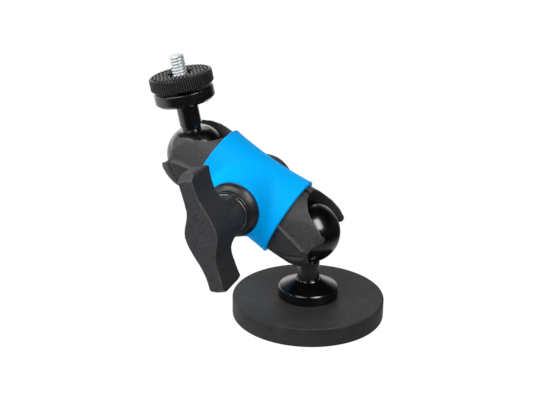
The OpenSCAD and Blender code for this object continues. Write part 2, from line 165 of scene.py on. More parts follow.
def softCorners(points, steps=5):
    # each point is (radius, height, rounding) in millimetres
    line = []
    for i, (x, y, rounding) in enumerate(points):
        corner = Vector((x, y))
        if not rounding or i in (0, len(points) - 1):
            line.append(corner)
            continue
        before = Vector(points[i - 1][:2]) - corner
        after = Vector(points[i + 1][:2]) - corner
        reach = rounding / math.tan(before.angle(after) / 2)
        reach = min(reach, 0.48 * before.length, 0.48 * after.length)  # two roundings never meet
        start = corner + before.normalized() * reach
        end = corner + after.normalized() * reach
        for step in range(steps + 1):
            t = step / steps
            line.append(start * (1 - t) ** 2 + corner * 2 * t * (1 - t) + end * t * t)
    return line


def lathe(name, line, place=baseFrame, closed=False, steps=144, sharpAngle=38):
    bm = bmesh.new()
    rings = []
    for radius, height in line:
        if radius < 1e-4:
            rings.append([bm.verts.new((0, 0, height * mm))] * steps)
            continue
        rings.append([
            bm.verts.new((
                radius * mm * math.cos(2 * math.pi * i / steps),
                radius * mm * math.sin(2 * math.pi * i / steps),
                height * mm,
            ))
            for i in range(steps)
        ])
    pairs = list(zip(rings, rings[1:])) + ([(rings[-1], rings[0])] if closed else [])
    for low, high in pairs:
        for i in range(steps):
            k = (i + 1) % steps
            corners = []
            for vert in (low[i], low[k], high[k], high[i]):
                if vert not in corners:
                    corners.append(vert)
            if len(corners) > 2:
                bm.faces.new(corners)
    bmesh.ops.recalc_face_normals(bm, faces=bm.faces)
    mesh = bpy.data.meshes.new(name)
    bm.to_mesh(mesh)
    bm.free()
    mesh.transform(place)
    shaded(mesh, sharpAngle)
    return linked(name, mesh)


def ballLine(radius, height, startAngle, endAngle, steps=40):
    return [
        (radius * math.cos(a), height + radius * math.sin(a))
        for a in (
            startAngle + (endAngle - startAngle) * i / steps for i in range(steps + 1)
        )
    ]


# finishes
def paintGrooveShade(tree, spot, grooveShade, tinted):
    # painted shade: dark low in the grooves, the full colour on the crests
    offset = vectorCalc(tree, "SUBTRACT", spot, tuple(grooveShade["origin"]))
    if grooveShade["round"]:
        level = vectorCalc(
            tree, "LENGTH", vectorCalc(tree, "CROSS_PRODUCT", offset, tuple(grooveShade["axis"])),
        )
    else:
        level = vectorCalc(tree, "DOT_PRODUCT", offset, tuple(grooveShade["axis"]))
    amount = remap(tree, level, grooveShade["low"] * mm, grooveShade["high"] * mm)
    return mixColours(tree, amount, grooveShade["dark"] + (1,), tinted)


def surface(name, look):
    # look: colour, second colour, roughness range, grain and blotch sizes in mm
    material = bpy.data.materials.new(name)
    material.use_nodes = True
    tree = material.node_tree
    shader = tree.nodes["Principled BSDF"]
    spot = addNode(tree, "ShaderNodeTexCoord").outputs["Object"]
    blotch = addNode(tree, "ShaderNodeTexNoise", {
        "Vector": spot, "Scale": 1 / (look["blotch"] * mm), "Detail": 5.0, "Roughness": 0.6,
    }).outputs["Fac"]
    grain = addNode(tree, "ShaderNodeTexNoise", {
        "Vector": spot, "Scale": 1 / (look["grain"] * mm), "Detail": 3.0, "Roughness": 0.55,
    }).outputs["Fac"]
    mottle = remap(tree, blotch, 0.32, 0.68)  # noise seldom leaves this range
    tinted = mixColours(tree, mottle, look["colour"] + (1,), look["second"] + (1,))
    if "edge" in look:
        # painted highlight: raised edges and ridges are tinted lighter, standing for the sheen
        # they catch
        raised = addNode(tree, "ShaderNodeNewGeometry").outputs["Pointiness"]
        rim = remap(tree, raised, look.get("edgeFrom", 0.52), look.get("edgeTo", 0.6))
        tinted = mixColours(tree, calc(tree, "MULTIPLY", rim, mottle), tinted, look["edge"] + (1,))
    # painted shade in grooves, by height along an axis or by distance from it
    if "grooveShade" in look:
        tinted = paintGrooveShade(tree, spot, look["grooveShade"], tinted)
    tree.links.new(tinted, shader.inputs["Base Color"])
    rough = remap(tree, grain, 0.3, 0.7, *look["rough"])
    tree.links.new(rough, shader.inputs["Roughness"])
    normal = addNode(tree, "ShaderNodeBump", {
        "Height": grain, "Strength": look["bump"], "Distance": look["depth"] * mm,
    }).outputs["Normal"]
    if "lines" in look:
        # fine tool marks round an axis
        marks = addNode(tree, "ShaderNodeTexNoise", {
            "W": vectorCalc(tree, "DOT_PRODUCT", spot, look["lines"]),
            "Scale": 1 / (look["linePitch"] * mm), "Detail": 2.0,
        }, noise_dimensions="1D").outputs["Fac"]
        normal = addNode(tree, "ShaderNodeBump", {
            "Height": marks, "Strength": look["lineBump"], "Distance": look["lineDepth"] * mm,
            "Normal": normal,
        }).outputs["Normal"]
    tree.links.new(normal, shader.inputs["Normal"])
    shader.inputs["Metallic"].default_value = look.get("metal", 0.0)
    shader.inputs["Specular IOR Level"].default_value = look.get("shine", 0.5)
    if "paintedGlow" in look:
        # painted light: a glow of its own evens out the sleeve's shading, in place of the light
        # that passes through the thin wall
        shader.inputs["Emission Color"].default_value = look["paintedGlow"] + (1,)
        shader.inputs["Emission Strength"].default_value = 1.0
    return material


finishes = {
    "coverRubber": {
        "colour": (0.025, 0.025, 0.025), "second": (0.04, 0.04, 0.04), "rough": (0.52, 0.66),
        # the edge colour is a painted highlight on raised edges
        "blotch": 5, "grain": 0.16, "bump": 0.35, "depth": 0.03, "edge": (0.09, 0.09, 0.09),
        "shine": 0.24,
    },
    "shellPlastic": {
        "colour": (0.041, 0.041, 0.042), "second": (0.076, 0.076, 0.077), "rough": (0.44, 0.6),
        # the edge colour is a painted highlight on raised edges and the ridge
        "blotch": 0.9, "grain": 0.3, "bump": 0.7, "depth": 0.05, "edge": (0.19, 0.19, 0.19),
        "edgeFrom": 0.505, "edgeTo": 0.55, "shine": 0.22,
    },
    "blueSilicone": {
        "colour": (0.0, 0.31, 0.71), "second": (0.0, 0.33, 0.74), "rough": (0.5, 0.6),
        "blotch": 12, "grain": 0.12, "bump": 0.1, "depth": 0.015, "shine": 0.03,
        # painted light: the sleeve's own glow
        "paintedGlow": (0.0, 0.165, 0.41),
    },
    "knobPlastic": {
        "colour": (0.045, 0.045, 0.049), "second": (0.076, 0.076, 0.081), "rough": (0.45, 0.58),
        # the edge colour is a painted highlight on raised edges
        "blotch": 1.1, "grain": 0.25, "bump": 0.5, "depth": 0.04, "edge": (0.19, 0.19, 0.192),
        "edgeFrom": 0.505, "edgeTo": 0.56, "shine": 0.2,
    },
    "collarPlastic": {
        "colour": (0.018, 0.018, 0.021), "second": (0.024, 0.024, 0.027), "rough": (0.28, 0.38),
        "blotch": 4, "grain": 0.1, "bump": 0.12, "depth": 0.01,
    },
    "lowerAnodised": {
        "colour": (0.002, 0.002, 0.0022), "second": (0.003, 0.003, 0.0034), "rough": (0.15, 0.23),
        "blotch": 3, "grain": 0.05, "bump": 0.04, "depth": 0.004, "shine": 0.5,
        "lines": (0, 0, 1), "linePitch": 0.2, "lineBump": 0.16, "lineDepth": 0.02,
    },
    "upperAnodised": {
        "colour": (0.002, 0.002, 0.0022), "second": (0.003, 0.003, 0.0034), "rough": (0.17, 0.25),
        "blotch": 3, "grain": 0.05, "bump": 0.04, "depth": 0.004, "shine": 0.9,
        "lines": tuple(postAxis), "linePitch": 0.2, "lineBump": 0.16, "lineDepth": 0.02,
    },
    "ringAnodised": {
        "colour": (0.045, 0.045, 0.047), "second": (0.064, 0.064, 0.066), "rough": (0.3, 0.42),
        "blotch": 2, "grain": 0.08, "bump": 0.1, "depth": 0.01, "shine": 0.35,
        # painted shade between the knurl teeth
        "grooveShade": {
            "origin": upperBall, "axis": postAxis, "round": True, "low": 13.3, "high": 13.5,
            "dark": (0.003, 0.003, 0.003),
        },
    },
    "padRubber": {
        "colour": (0.095, 0.095, 0.098), "second": (0.125, 0.125, 0.128), "rough": (0.5, 0.62),
        "blotch": 2.5, "grain": 0.12, "bump": 0.3, "depth": 0.02, "shine": 0.2,
        # painted shade on the rib sides and below the rib tops
        "grooveShade": {
            "origin": upperBall, "axis": postAxis, "round": False, "low": 36.5, "high": 36.66,
            "dark": (0.006, 0.006, 0.006),
        },
    },
    # painted shade: near-black rubber for the floor between the ribs
    "ribFloorShade": {
        "colour": (0.006, 0.006, 0.006), "second": (0.01, 0.01, 0.01), "rough": (0.55, 0.65),
        "blotch": 2.5, "grain": 0.12, "bump": 0.3, "depth": 0.02,
    },
    "studSteel": {
        "colour": (0.62, 0.68, 0.7), "second": (0.72, 0.77, 0.79), "rough": (0.38, 0.5),
        "blotch": 1.2, "grain": 0.07, "bump": 0.1, "depth": 0.008, "metal": 0.35,
        "lines": tuple(postAxis), "linePitch": 0.1, "lineBump": 0.1, "lineDepth": 0.02,
    },
    "washerSteel": {
        "colour": (0.2, 0.19, 0.18), "second": (0.26, 0.25, 0.24), "rough": (0.32, 0.44),
        "blotch": 2, "grain": 0.08, "bump": 0.1, "depth": 0.01, "metal": 1.0,
        "lines": tuple(boltAxis), "linePitch": 0.12, "lineBump": 0.1, "lineDepth": 0.02,
    },
    "zincSteel": {
        "colour": (0.5, 0.5, 0.49), "second": (0.62, 0.62, 0.6), "rough": (0.26, 0.4),
        "blotch": 2.5, "grain": 0.1, "bump": 0.15, "depth": 0.01, "metal": 1.0,
    },
    "plateSteel": {
        "colour": (0.45, 0.45, 0.45), "second": (0.55, 0.55, 0.55), "rough": (0.35, 0.5),
        "blotch": 6, "grain": 0.2, "bump": 0.2, "depth": 0.02, "metal": 1.0,
    },
    "magnetNickel": {
        "colour": (0.6, 0.59, 0.57), "second": (0.68, 0.67, 0.65), "rough": (0.12, 0.2),
        "blotch": 4, "grain": 0.1, "bump": 0.05, "depth": 0.005, "metal": 1.0,
    },
    "bushBrass": {
        "colour": (0.6, 0.42, 0.16), "second": (0.68, 0.5, 0.2), "rough": (0.25, 0.38),
        "blotch": 2, "grain": 0.1, "bump": 0.1, "depth": 0.01, "metal": 1.0,
    },
    "darkSteel": {
        "colour": (0.08, 0.08, 0.08), "second": (0.11, 0.11, 0.11), "rough": (0.35, 0.5),
        "blotch": 2, "grain": 0.1, "bump": 0.1, "depth": 0.01, "metal": 1.0,
    },
}
materials = {name: surface(name, look) for name, look in finishes.items()}
print("finishes ready:", len(materials))


# camera, in degrees, metres and pixels
viewpoint = {
    "azimuth": 21.5, "elevation": 20.34, "roll": 0.58, "distance": 0.45,
    "focal": 1028.3, "imageWidth": 533, "sensor": 36,
    "offset": (0.01813, -0.04122), "aim": (0, 0, 0.0085),
}


def addCamera(look):
    a, e, r = (math.radians(look[k]) for k in ("azimuth", "elevation", "roll"))
    back = Vector((math.sin(a) * math.cos(e), -math.cos(a) * math.cos(e), math.sin(e)))
    right = Vector((math.cos(a), math.sin(a), 0))
    up = back.cross(right)
    tiltedRight = right * math.cos(r) + up * math.sin(r)
    tiltedUp = up * math.cos(r) - right * math.sin(r)
    eye = (
        Vector(look["aim"]) - tiltedRight * look["offset"][0]
        - tiltedUp * look["offset"][1] + back * look["distance"]
    )
    data = bpy.data.cameras.new("camera")
    data.sensor_width = look["sensor"]
    data.sensor_fit = "HORIZONTAL"
    data.lens = look["focal"] / look["imageWidth"] * look["sensor"]
    data.clip_start = 0.01
    camera = bpy.data.objects.new("camera", data)
    bpy.context.scene.collection.objects.link(camera)
    camera.matrix_world = frameFrom(eye, tiltedRight, tiltedUp, back)
    bpy.context.scene.camera = camera


addCamera(viewpoint)
print("camera set")

# magnet base, sizes in millimetres here and below
disc = {
    "radius": 33, "height": 8.5, "rounding": 0.8, "edgeBand": 6,
    "recessRadius": 6.4, "recessFoot": 6.1, "recessDepth": 0.5,
}


def addDisc(size):
    r, h, e = size["radius"], size["height"], size["rounding"]
    band, floor = r - size["edgeBand"], h - size["recessDepth"]
    line = softCorners([
        (0, 0, 0), (band, 0, 0), (r, 0, e), (r, h, e), (band, h, 0),
        (size["recessRadius"], h, 0.2), (size["recessFoot"], floor, 0), (0, floor, 0),
    ], 8)
    cover = lathe("rubberDisc", line, baseFrame, steps=256)
    finish(cover, materials["coverRubber"], "magnet_base", "rubber_cover")


addDisc(disc)
print("disc ready")

# ball posts
ball = {"radius": 13.2, "flat": 11.5, "stemRadius": 4.7, "groove": 0.6, "grooveWidth": 1.9}
flatRadius = math.sqrt(ball["radius"] ** 2 - ball["flat"] ** 2)
flatAngle = math.asin(ball["flat"] / ball["radius"])
lowerPost = {"flangeRadius": 13, "flangeHeight": 4.7, "coneHeight": 3.2, "chamfer": 0.45}
upperPost = {
    "seatUp": 24, "seatRadius": 12.9, "seatHeight": 5.6, "seatChamfer": 1.1, "chamfer": 0.45,
    "screwRadius": 3.175, "screwRoom": 0.05, "screwDepth": 3.5,
}


def addLowerPost(size):
    foot = disc["height"]
    top = foot + size["flangeHeight"]
    coneTop = top + size["coneHeight"]
    r, s, e = size["flangeRadius"], ball["stemRadius"], size["chamfer"]
    ballHeight = lowerBall.z / mm
    neck = ballHeight - ball["flat"]
    groove, grooveFoot = s - ball["groove"], neck - ball["grooveWidth"]
    line = softCorners([
        (0, foot, 0), (r - e, foot, 0), (r, foot + e, 0.3), (r, top - e, 0.25),
        (r - e, top, 0.25), (s + 1.0, coneTop, 0.25), (s + 0.75, coneTop + 0.45, 0.2),
        (s, coneTop + 0.5, 0.2), (s, grooveFoot, 0.25), (groove, grooveFoot + 0.3, 0.2),
        (groove, neck, 0.25), (flatRadius, neck, 0),
    ])
    line += ballLine(ball["radius"], ballHeight, -flatAngle, math.pi / 2)[1:]
    body = lathe("lowerPost", line, baseFrame, steps=192, sharpAngle=50)
    finish(body, materials["lowerAnodised"], "lower_post", "lower_ball_post")


def addUpperPost(size):
    s, up, r, e = ball["stemRadius"], size["seatUp"], size["seatRadius"], size["chamfer"]
    top = up + size["seatHeight"]
    neck = ball["flat"]
    groove, grooveTop = s - ball["groove"], neck + ball["grooveWidth"]
    bore, boreFoot = size["screwRadius"] + size["screwRoom"], up - size["screwDepth"]
    line = ballLine(ball["radius"], 0, -math.pi / 2, flatAngle)[:-1]
    line += softCorners([
        (flatRadius, neck, 0), (groove, neck, 0.25),
        (groove, grooveTop - 0.3, 0.2), (s, grooveTop, 0.2), (s, up, 0.35),
        (r - size["seatChamfer"], up, 0.3), (r, up + size["seatChamfer"], 0.4),
        (r, top - e, 0.25), (r - e, top, 0.25), (6.8, top, 0.1), (6.6, top - 0.15, 0.1),
        (bore, top - 0.15, 0.1), (bore, boreFoot, 0), (0, boreFoot, 0),
    ])
    body = lathe("upperPost", line, postFrame, steps=192, sharpAngle=50)
    finish(body, materials["upperAnodised"], "upper_post", "upper_ball_post")


addLowerPost(lowerPost)
addUpperPost(upperPost)
print("posts ready")

# clamp arm: the moulded shells and the knob are softened copies of the solids
shells = {
    "voxel": 0.33, "passes": 11, "socketClear": 0.1, "wall": 4,
    "ridge": (33.3, -0.5, 16.4), "facet": (-0.079, -0.236, 0.968),
    "facetFrom": 13, "facetBlend": 1.5,
    # the slimmer lower side, and the taper from the balls towards the sleeve
    "underIn": 0.7, "underFrom": 20, "underFull": 27, "underSoft": 0.45,
    "taper": 0.9, "taperLength": 9.8,
    "slotFrom": 0.75, "slotEdge": 1.9, "slotBlend": 4.2,
    "linesAbove": 2.2, "linesFrom": 6,
    # height, half width and corners of a raised line and of a crease
    "lines": (
        (0.75, 0.75, ((16, 3.2), (18.7, 2.65), (28, 0.9), (33.3, -0.5))),
        (-0.5, 0.6, ((16, -11.6), (21.7, -10.5), (28.5, -8.3), (34.6, -3.2))),
    ),
}


def mouldedCopy(name, node, voxel, passes):
    mesh = frame["nodes"][node].data.copy()
    mesh.name = name
    bm = bmesh.new()
    bm.from_mesh(mesh)
    bmesh.ops.remove_doubles(bm, verts=bm.verts, dist=1e-6)
    bm.to_mesh(mesh)
    bm.free()
    mesh.transform(armFrame.inverted())  # the voxels line up with the arm
    piece = linked(name, mesh)
    remesh = piece.modifiers.new("remesh", "REMESH")
    remesh.mode = "VOXEL"
    remesh.voxel_size = voxel * mm
    settled(piece)
    mesh = piece.data
    points = pointsOf(mesh)
    edges = np.empty(len(mesh.edges) * 2, dtype=int)
    mesh.edges.foreach_get("vertices", edges)
    a, b = edges.reshape(-1, 2).T
    share = np.bincount(a, minlength=len(points)) + np.bincount(b, minlength=len(points))
    for _ in range(passes):
        total = np.empty_like(points)
        for axis in range(3):
            total[:, axis] = (
                np.bincount(a, points[b, axis], len(points))
                + np.bincount(b, points[a, axis], len(points))
            )
        points += 0.5 * (total / share[:, None] - points)
    setPoints(mesh, points)
    mesh.transform(armFrame)
    mesh.update()
    mesh.shade_smooth()
    return piece


def clearOfBalls(piece, least):
    # the smoothed sockets keep their clearance round the balls
    points = pointsOf(piece.data)
    for centre in (lowerBall, upperBall):
        spoke = points - np.array(centre)
        distance = np.linalg.norm(spoke, axis=1)
        points += spoke * (np.maximum(least / distance, 1) - 1)[:, None]
    setPoints(piece.data, points)


def distanceToLine(spot, corners):
    away = np.full(len(spot), np.inf)
    for start, end in zip(corners, corners[1:]):
        start, run = np.array(start), np.array(end) - np.array(start)
        share = np.clip((spot - start) @ run / (run @ run), 0, 1)
        away = np.minimum(away, np.linalg.norm(spot - start - share[:, None] * run, axis=1))
    return away


def shapeShell(piece, size, side):
    # facet, slimmer lower side and wide slot, in the arm's own frame and in millimetres
    place = armFrame.copy()
    if side < 0:
        place = place @ Matrix.Diagonal((1, 1, -1, 1))
    mesh = piece.data
    mesh.transform(place.inverted())
    points = pointsOf(mesh) / mm
    x, y, z = points.T
    reach = np.abs(x)
    normal = np.array(size["facet"])
    normal /= np.linalg.norm(normal)
    over = (
        (reach - size["ridge"][0]) * normal[0] + (y - size["ridge"][1]) * normal[1]
        + (z - size["ridge"][2]) * normal[2]
    )
    over = np.maximum(over, 0) * np.clip((reach - size["facetFrom"]) / size["facetBlend"], 0, 1)
    points[:, 0] -= np.sign(x) * normal[0] * over
    points[:, 1] -= normal[1] * over
    points[:, 2] -= normal[2] * over
    centre = np.clip(points[:, 0], -halfLink, halfLink)
    spoke = points - np.column_stack((centre, np.zeros_like(centre), np.zeros_like(centre)))
    radius = np.linalg.norm(spoke, axis=1)
    full = ball["radius"] + size["socketClear"] + size["wall"]
    span = np.clip((reach - size["underFrom"]) / (size["underFull"] - size["underFrom"]), 0, 1)
    low = np.clip(-spoke[:, 1] / radius / size["underSoft"], 0, 1)
    taper = size["taper"] * np.clip((halfLink - reach) / size["taperLength"], 0, 1)
    cap = full - taper - size["underIn"] * span * low
    shrink = np.where(reach > size["facetFrom"], np.minimum(cap / radius, 1), 1)
    points = points - spoke * (1 - shrink)[:, None]
    # the lines stand out from the ball's centre, on the outside only
    outside = radius > ball["radius"] + size["linesAbove"]
    for height, halfWidth, corners in size["lines"]:
        away = distanceToLine(np.column_stack((np.abs(points[:, 0]), points[:, 1])), corners)
        shown = outside & (points[:, 2] > size["linesFrom"])
        lift = height * np.exp(-(away / halfWidth) ** 2) * shown
        points += spoke / radius[:, None] * lift[:, None]
    if side > 0:
        start, edge, end = size["slotFrom"], size["slotEdge"], size["slotBlend"]
        z = points[:, 2]
        raised = edge + (z - start) * (end - edge) / (end - start)
        points[:, 2] = np.where(z < end, raised, z)
    setPoints(mesh, points * mm)
    mesh.transform(place)


def addShell(name, node, body, size, side):
    shell = mouldedCopy(name, node, size["voxel"], size["passes"])
    clearOfBalls(shell, (ball["radius"] + size["socketClear"]) * mm)
    shapeShell(shell, size, side)
    finish(shell, materials["shellPlastic"], body, node)


addShell("backShell", "arm_back_half", "arm_back", shells, -1)
addShell("frontShell", "arm_front_half", "arm_front", shells, 1)
print("shells ready")

knobBar = {"voxel": 0.3, "passes": 7}


def addKnob(size):
    knob = mouldedCopy("knobBar", "knob_body", size["voxel"], size["passes"])
    finish(knob, materials["knobPlastic"], "knob", "knob_body")


addKnob(knobBar)
print("knob ready")

# sleeve
sleeve = {
    "start": -21.1, "end": 18.9, "waist": 15.2, "neck": 16.4, "shoulder": 17.3, "straight": 20,
    "gap": 0.15, "wall": 1.45, "rimHeight": 20.4, "rimRadius": 12.4, "spread": 4.6, "flare": 2.2,
    "hole": 10.8, "backHole": 12.3, "lip": 0.14, "lipWidth": 1.0, "edgeIn": 0.4,
    "edgeWidth": 0.45, "merge": 0.12, "bevel": 0.3, "stretch": 6,
}


def armRadius(size, x):
    turn = size["straight"]
    if abs(x) < turn:
        return size["waist"] + (size["neck"] - size["waist"]) * (x / turn) ** 2
    rise = (abs(x) - turn) / (halfLink - turn)
    return size["neck"] + (size["shoulder"] - size["neck"]) * rise


def sleeveLine(size, outerSteps=96, innerSteps=24):
    # a faint lip and a rounded edge at both ends of the outside
    x0, x1 = size["start"], size["end"]
    outer, inner = [], []
    for i in range(outerSteps + 1):
        x = x0 + (x1 - x0) * i / outerSteps
        radius = armRadius(size, x) + size["gap"] + size["wall"]
        for room in (x - x0, x1 - x):
            radius += size["lip"] * math.exp(-(room / size["lipWidth"]) ** 2)
            radius -= size["edgeIn"] * max(0, 1 - room / size["edgeWidth"]) ** 2
        outer.append((radius, x))
    for i in range(innerSteps + 1):
        x = x1 - (x1 - x0) * i / innerSteps
        inner.append((armRadius(size, x) + size["gap"], x))
    return outer, inner


def addSleeve(size, steps=240):
    outer, inner = sleeveLine(size)
    bm = bmesh.new()
    rings = []
    for index, (radius, x) in enumerate(outer + inner):
        ring = []
        for i in range(steps):
            angle = 2 * math.pi * i / steps
            across, out = radius * math.sin(angle), radius * math.cos(angle)
            if index < len(outer) and out > 0:
                # the outside rises in a smooth flare to the rim round the collar
                reach = math.hypot(x, across)
                t = min(max((reach - size["rimRadius"]) / size["spread"], 0), 1)
                out += max(0, size["rimHeight"] - out) * (1 - t) ** size["flare"]
            ring.append(bm.verts.new((x * mm, across * mm, out * mm)))
        rings.append(ring)
    for low, high in list(zip(rings, rings[1:])) + [(rings[-1], rings[0])]:
        for i in range(steps):
            k = (i + 1) % steps
            bm.faces.new((low[i], low[k], high[k], high[i]))
    bmesh.ops.recalc_face_normals(bm, faces=bm.faces)
    mesh = bpy.data.meshes.new("blueSleeve")
    bm.to_mesh(mesh)
    bm.free()
    piece = linked("blueSleeve", mesh)
    # a hole for the collar in front and one for the bolt's head behind
    for radius, side in ((size["hole"], 1), (size["backHole"], -1)):
        low, high = sorted((side * 2.0, side * 40.0))
        hole = [(0, low), (radius, low), (radius, high), (0, high)]
        combined(piece, lathe("cutter", hole, steps=192), "DIFFERENCE")
    bm = bmesh.new()
    bm.from_mesh(piece.data)
    bmesh.ops.remove_doubles(bm, verts=bm.verts, dist=size["merge"] * mm)
    bmesh.ops.dissolve_degenerate(bm, edges=bm.edges, dist=1e-6)
    bm.to_mesh(piece.data)
    bm.free()
    soften = piece.modifiers.new("soften", "BEVEL")
    soften.width = size["bevel"] * mm
    soften.segments = 3
    soften.limit_method = "ANGLE"
    soften.angle_limit = math.radians(50)
    settled(piece)
    piece.data.transform(armFrame)
    shaded(piece.data, 45)
    # a stretch along the bolt is worked out, and nothing uses it
    reach = boltAxis * size["stretch"] * mm
    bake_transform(piece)
    finish(piece, materials["blueSilicone"], None, "silicone_sleeve")


addSleeve(sleeve)
print("sleeve ready")

# clamp hardware
collar = {"bore": 3.1, "foot": 20.6, "top": 25.8, "radius": 11.9, "topRadius": 9.3}
washer = {"bore": 3.1, "foot": 25.8, "top": 26.7, "radius": 8.7}
bolt = {
    "headFlats": 10, "headFrom": -17, "headTo": -12.6, "headChamfer": (0.75, 0.45),
    "shankRadius": 3, "shankTo": 44.1, "overlap": 0.5,
}


def addCollar(size):
    bore, low, top = size["bore"], size["foot"], size["top"]
    r, t = size["radius"], size["topRadius"]
    line = softCorners([
        (bore, low, 0), (r - 0.3, low, 0), (r, low + 0.3, 0.2), (r, low + 1.3, 0.7),
        (r - 0.7, low + 2.6, 0.6), (t + 0.75, low + 3.7, 0.3), (t + 0.35, low + 3.9, 0.2),
        (t, top, 0.5), (bore, top, 0),
    ], 6)
    piece = lathe("domedCollar", line, armFrame, closed=True, steps=160, sharpAngle=50)
    finish(piece, materials["collarPlastic"], "arm_front", "domed_collar")


def addWasher(size):
    bore, low, top, r = size["bore"], size["foot"], size["top"], size["radius"]
    line = softCorners([
        (bore, low, 0), (r - 0.2, low, 0), (r, low + 0.2, 0.15), (r, top - 0.2, 0.15),
        (r - 0.25, top, 0.15), (bore, top, 0),
    ])
    piece = lathe("thinWasher", line, armFrame, closed=True, steps=160, sharpAngle=50)
    finish(piece, materials["washerSteel"], "arm_front", "thin_washer")


def addBolt(size):
    # the hexagon head keeps its chamfered corners
    reach = size["headFlats"] / 2 / math.cos(math.pi / 6)
    start, end = size["headFrom"], size["headTo"]
    inward, upward = size["headChamfer"]
    head = softCorners([
        (0, start, 0), (reach - inward, start, 0.1), (reach, start + upward, 0), (reach, end, 0),
        (0, end, 0),
    ])
    shape = lathe("clampBolt", head, steps=96)
    sides = [(0, start - 1), (reach, start - 1), (reach, end + 1), (0, end + 1)]
    combined(shape, lathe("hexagon", sides, steps=6), "INTERSECT")
    radius, foot, top = size["shankRadius"], end - size["overlap"], size["shankTo"]
    shank = softCorners([(0, foot, 0), (radius, foot, 0), (radius, top, 0.5), (0, top, 0)])
    combined(shape, lathe("shank", shank, steps=64), "UNION")
    shape.data.transform(armFrame)
    shaded(shape.data, 25)
    finish(shape, materials["zincSteel"], "arm_back", "clamp_bolt")


addCollar(collar)
addWasher(washer)
addBolt(bolt)
print("hardware ready")


# node trees for what repeats
def newTree(name, sockets):
    tree = bpy.data.node_groups.new(name, "GeometryNodeTree")
    for label, kind, value in sockets:
        socket = tree.interface.new_socket(name=label, in_out="INPUT", socket_type=kind)
        if value is not None:
            socket.default_value = value
    tree.interface.new_socket(name="Geometry", in_out="OUTPUT", socket_type="NodeSocketGeometry")
    return tree, addNode(tree, "NodeGroupInput").outputs


def closeTree(tree, geometry, material):
    real = addNode(tree, "GeometryNodeRealizeInstances", {0: geometry})
    coloured = addNode(tree, "GeometryNodeSetMaterial", {0: real.outputs[0]})
    coloured.inputs["Material"].default_value = material
    output = addNode(tree, "NodeGroupOutput")
    tree.links.new(coloured.outputs[0], output.inputs[0])


def runTree(piece, tree, values):
    modifier = piece.modifiers.new(tree.name, "NODES")
    modifier.node_group = tree
    for item in tree.interface.items_tree:
        if item.in_out == "INPUT" and item.name in values:
            modifier[item.identifier] = values[item.name]
    settled(piece)


stud = {
    "Root Radius": 2.68 * mm, "Crest Radius": 3.17 * mm, "Pitch": 1.27 * mm,
    "Length": 23.298 * mm, "Rows": 300, "Columns": 56, "sunk": 3,
}


def threadTree(material):
    tree, given = newTree("threadedRod", [
        ("Root Radius", "NodeSocketFloat", 0.0027), ("Crest Radius", "NodeSocketFloat", 0.0031),
        ("Pitch", "NodeSocketFloat", 0.00127), ("Length", "NodeSocketFloat", 0.02),
        ("Rows", "NodeSocketInt", 200), ("Columns", "NodeSocketInt", 48),
    ])
    grid = addNode(tree, "GeometryNodeMeshGrid", {
        "Size X": 1.0, "Size Y": 1.0, "Vertices X": given["Rows"], "Vertices Y": given["Columns"],
    })
    place = addNode(tree, "ShaderNodeSeparateXYZ", {
        0: addNode(tree, "GeometryNodeInputPosition").outputs[0],
    }).outputs
    height = calc(tree, "MULTIPLY", calc(tree, "ADD", place[0], 0.5), given["Length"])
    turn = calc(tree, "ADD", place[1], 0.5)
    turns = calc(tree, "SUBTRACT", calc(tree, "DIVIDE", height, given["Pitch"]), turn)
    phase = calc(tree, "FRACT", turns)
    flank = calc(tree, "ABSOLUTE", calc(tree, "SUBTRACT", calc(tree, "MULTIPLY", phase, 2.0), 1.0))
    profile = remap(tree, flank, 0.14, 0.86, given["Root Radius"], given["Crest Radius"])
    # both ends of the rod are chamfered
    endRoom = calc(tree, "MINIMUM", height, calc(tree, "SUBTRACT", given["Length"], height))
    endRadius = calc(tree, "SUBTRACT", given["Root Radius"], 0.0001)
    chamfer = calc(tree, "ADD", calc(tree, "MULTIPLY", endRoom, 1.1), endRadius)
    radius = calc(tree, "MINIMUM", profile, chamfer)
    angle = calc(tree, "MULTIPLY", turn, 2 * math.pi)
    spot = addNode(tree, "ShaderNodeCombineXYZ", {
        0: calc(tree, "MULTIPLY", radius, calc(tree, "COSINE", angle)),
        1: calc(tree, "MULTIPLY", radius, calc(tree, "SINE", angle)),
        2: height,
    })
    shaped = addNode(tree, "GeometryNodeSetPosition", {
        "Geometry": grid.outputs["Mesh"], "Position": spot.outputs[0],
    })
    merged = addNode(tree, "GeometryNodeMergeByDistance", {0: shaped.outputs[0], "Distance": 1e-6})
    closeTree(tree, merged.outputs[0], material)
    return tree


def addStud(size):
    piece = linked("cameraStud", bpy.data.meshes.new("cameraStud"))
    runTree(piece, threadTree(materials["studSteel"]), size)
    bm = bmesh.new()
    bm.from_mesh(piece.data)
    bmesh.ops.holes_fill(bm, edges=[e for e in bm.edges if e.is_boundary], sides=0)
    bmesh.ops.recalc_face_normals(bm, faces=bm.faces)
    bm.to_mesh(piece.data)
    bm.free()
    foot = (upperPost["seatUp"] - size["sunk"]) * mm
    piece.data.transform(postFrame @ Matrix.Translation((0, 0, foot)))
    shaded(piece.data, 40)
    finish(piece, materials["studSteel"], "camera_screw", "camera_stud")


addStud(stud)
print("stud ready")

ring = {
    "foot": 30.74, "top": 36.4, "radius": 13.6, "depth": 0.36, "teeth": 84, "toothFill": 0.94,
    "toothRoot": 0.12, "crest": 0.1, "hole": 5.55, "padHole": 12.25, "padDepth": 1.4,
}


